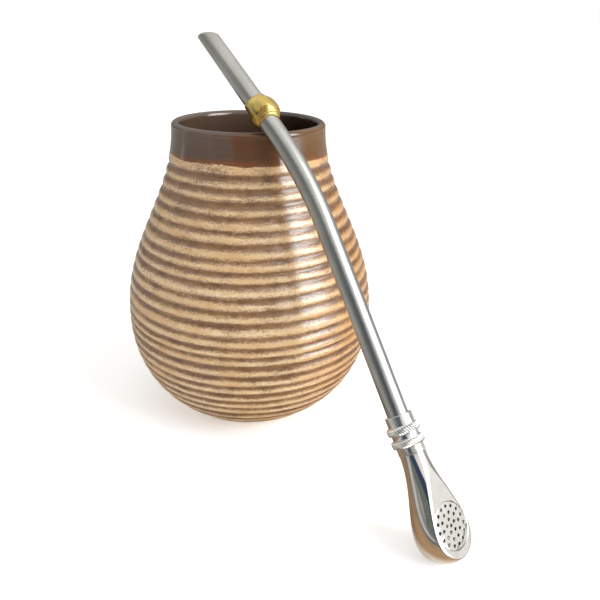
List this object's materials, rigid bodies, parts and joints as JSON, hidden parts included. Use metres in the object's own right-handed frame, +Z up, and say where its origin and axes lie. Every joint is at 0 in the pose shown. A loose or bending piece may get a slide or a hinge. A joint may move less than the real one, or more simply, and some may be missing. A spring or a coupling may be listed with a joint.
{
  "type": "mate gourd with filter straw",
  "caption": "Ridged ceramic mate gourd, empty, with a bent metal filter straw leaning across its glazed lip.",
  "frame": {"origin": "centre of the gourd's flat foot, on the table", "axes": "+Z up along the gourd's turning axis; the straw's foot stands towards -Y and +X, and +Y is behind the gourd"},
  "size_m": [0.1108, 0.1513, 0.1411],
  "materials": {
    "glazed_stoneware": "gloss",
    "satin_steel": "satin",
    "brass": "polished",
    "polished_steel": "polished"
  },
  "bodies": {
    "root": {"gourd": "glazed_stoneware", "straw_tube": "satin_steel", "lip_ring": "brass", "knurled_collar": "polished_steel", "filter_head": "polished_steel", "filter_disc": "polished_steel"}
  },
  "joints": []
}
